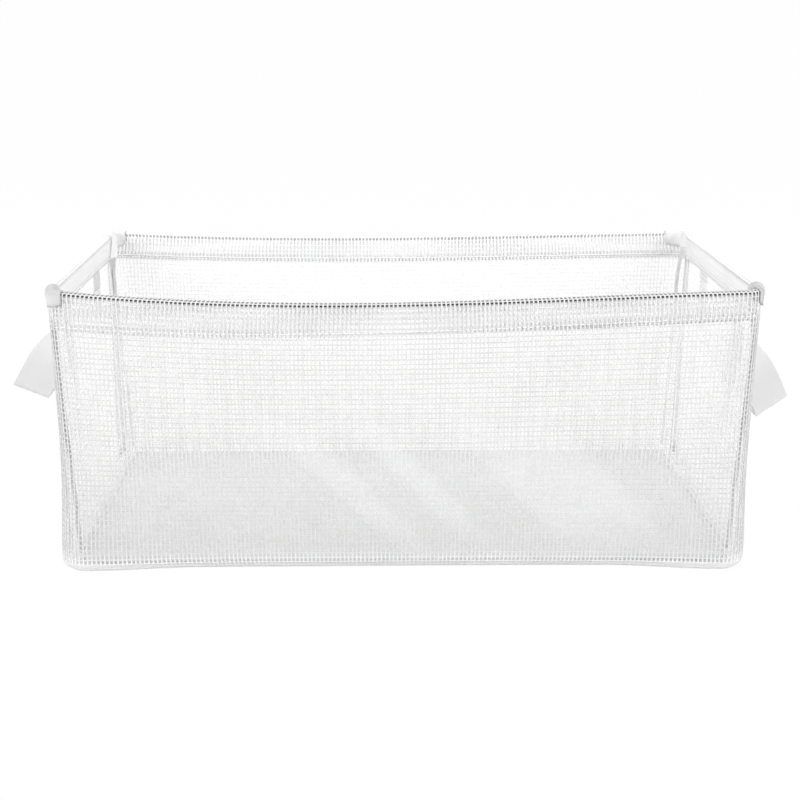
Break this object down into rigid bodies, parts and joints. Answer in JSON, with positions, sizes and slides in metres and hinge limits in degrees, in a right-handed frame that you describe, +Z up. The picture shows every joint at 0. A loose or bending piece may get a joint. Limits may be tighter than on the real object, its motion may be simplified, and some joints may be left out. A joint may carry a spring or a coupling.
{
  "type": "storage basket",
  "caption": "Rectangular storage basket of thread-reinforced clear vinyl on a folding wire frame, with a lift-out base board and a strap handle at each end.",
  "frame": {"origin": "under the middle of the bag, on the surface that it stands on", "axes": "+X along the length towards the right end, +Y towards the back, +Z up"},
  "size_m": [0.469, 0.214, 0.1666],
  "materials": {
    "sheet": "clear glossy vinyl film over a grid of white threads",
    "steel_wire": "drawn steel wire, dark grey, satin",
    "board": "light grey board with a fine grain",
    "strap": "pale grey woven strap",
    "tape": "white woven binding tape"
  },
  "bodies": {
    "basket": {"rim_wire": "steel_wire", "front_wall": "sheet", "back_wall": "sheet", "left_wall": "sheet", "right_wall": "sheet", "floor_mesh": "sheet", "floor_binding": "tape", "corner_tape_front_left": "tape", "corner_tape_front_right": "tape", "corner_tape_back_left": "tape", "corner_tape_back_right": "tape", "left_handle_front_tab": "strap", "left_handle_back_tab": "strap", "right_handle_front_tab": "strap", "right_handle_back_tab": "strap"},
    "base_board": {"base_board": "board"},
    "left_frame": {"left_frame": "steel_wire"},
    "right_frame": {"right_frame": "steel_wire"},
    "left_handle": {"left_handle": "strap"},
    "right_handle": {"right_handle": "strap"}
  },
  "joints": [
    {"name": "board_lift", "type": "slide", "parent": "basket", "child": "base_board", "axis": [0, 0, 1], "range_m": [0, 0.2]},
    {"name": "left_frame_fold", "type": "hinge", "parent": "basket", "child": "left_frame", "pos_m": [-0.19767, 0, 0.1627], "axis": [0, -1, 0], "range_deg": [0, 84]},
    {"name": "right_frame_fold", "type": "hinge", "parent": "basket", "child": "right_frame", "pos_m": [0.19767, 0, 0.1627], "axis": [0, 1, 0], "range_deg": [0, 84]},
    {"name": "left_handle_swing", "type": "hinge", "parent": "basket", "child": "left_handle", "pos_m": [-0.20237, 0, 0.121], "axis": [0, 1, 0], "range_deg": [-5, 95]},
    {"name": "right_handle_swing", "type": "hinge", "parent": "basket", "child": "right_handle", "pos_m": [0.20237, 0, 0.121], "axis": [0, -1, 0], "range_deg": [-5, 95]}
  ]
}
